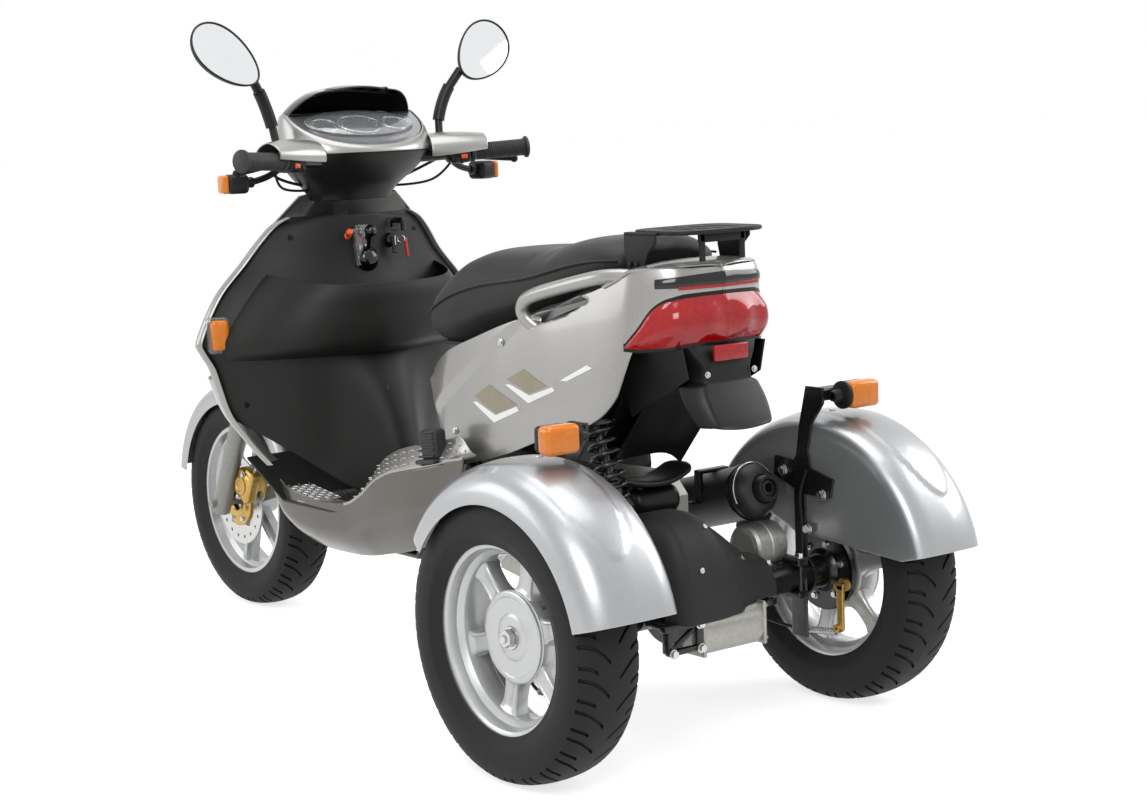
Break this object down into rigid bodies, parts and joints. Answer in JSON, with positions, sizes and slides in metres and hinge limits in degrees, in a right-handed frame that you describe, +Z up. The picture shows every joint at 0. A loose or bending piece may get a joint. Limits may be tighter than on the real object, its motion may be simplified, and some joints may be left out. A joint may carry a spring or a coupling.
{
  "type": "three-wheel motor scooter",
  "caption": "Small motor scooter with one steered front wheel and two fendered rear wheels, a hinged saddle over a storage tub and a rear luggage rack.",
  "frame": {"origin": "on the ground, centre of the overall box", "axes": "+Y rearward, +X to the rider's left, +Z up"},
  "size_m": [0.884, 2.0566, 1.2843],
  "materials": {
    "frame_black": "satin",
    "cast_alloy": "cast",
    "dark_plastic": "matte",
    "muffler_black": "satin",
    "silver_paint": "metallic gloss",
    "red_lens": "gloss",
    "orange_lens": "gloss",
    "clear_lens": "gloss",
    "black_plastic": "fine grain",
    "taupe_paint": "satin metallic",
    "tread_plate": "embossed",
    "seat_vinyl": "grained vinyl",
    "grip_rubber": "matte",
    "fork_grey": "satin",
    "gold_metal": "satin",
    "disc_steel": "ground",
    "tyre_rubber": "matte",
    "wheel_silver": "satin metallic",
    "gauge_lens": "gloss",
    "smoked_lens": "gloss"
  },
  "bodies": {
    "chassis": {"main_frame": "frame_black", "rear_axle": "frame_black", "signal_brackets": "frame_black", "gearbox": "cast_alloy", "engine": "cast_alloy", "diff_cover": "dark_plastic", "muffler": "muffler_black", "shock_absorbers": "frame_black", "rear_fender_left": "silver_paint", "rear_fender_right": "silver_paint", "tail_body": "silver_paint", "front_apron": "silver_paint", "tail_light": "red_lens", "turn_signals": "orange_lens", "rear_mudguard": "black_plastic", "leg_shield": "black_plastic", "floorboard": "black_plastic", "storage_bucket": "black_plastic", "control_levers": "black_plastic", "luggage_rack": "frame_black", "side_skirts": "taupe_paint", "foot_pads": "tread_plate"},
    "front_wheel": {"front_tyre": "tyre_rubber", "front_rim": "wheel_silver", "brake_disc": "disc_steel"},
    "rear_wheel_left": {"rear_tyre_left": "tyre_rubber", "rear_rim_left": "wheel_silver"},
    "rear_wheel_right": {"rear_tyre_right": "tyre_rubber", "rear_rim_right": "wheel_silver"},
    "steering": {"fork": "fork_grey", "front_fender": "silver_paint", "brake_caliper": "gold_metal", "handlebar": "frame_black", "grips": "grip_rubber", "hand_controls": "black_plastic", "mirrors": "black_plastic", "handlebar_signals": "orange_lens", "handle_cover": "black_plastic", "handle_cover_top": "silver_paint", "instrument_panel": "gauge_lens", "visor": "smoked_lens", "headlight": "clear_lens"},
    "seat": {"seat_cushion": "seat_vinyl", "seat_base": "black_plastic"}
  },
  "joints": [
    {"name": "steering", "type": "hinge", "parent": "chassis", "child": "steering", "pos_m": [0, -0.36316, 0.9], "axis": [0, 0.4695, 0.8829], "range_deg": [-40, 40]},
    {"name": "front_wheel_spin", "type": "hinge", "parent": "steering", "child": "front_wheel", "pos_m": [0, -0.77816, 0.242], "axis": [1, 0, 0], "continuous": true},
    {"name": "rear_left_wheel_spin", "type": "hinge", "parent": "chassis", "child": "rear_wheel_left", "pos_m": [0.364, 0.72184, 0.243], "axis": [1, 0, 0], "continuous": true},
    {"name": "rear_right_wheel_spin", "type": "hinge", "parent": "chassis", "child": "rear_wheel_right", "pos_m": [-0.364, 0.72184, 0.243], "axis": [1, 0, 0], "continuous": true},
    {"name": "seat_hinge", "type": "hinge", "parent": "chassis", "child": "seat", "pos_m": [0, 0.17384, 0.648], "axis": [1, 0, 0], "range_deg": [0, 70]}
  ]
}
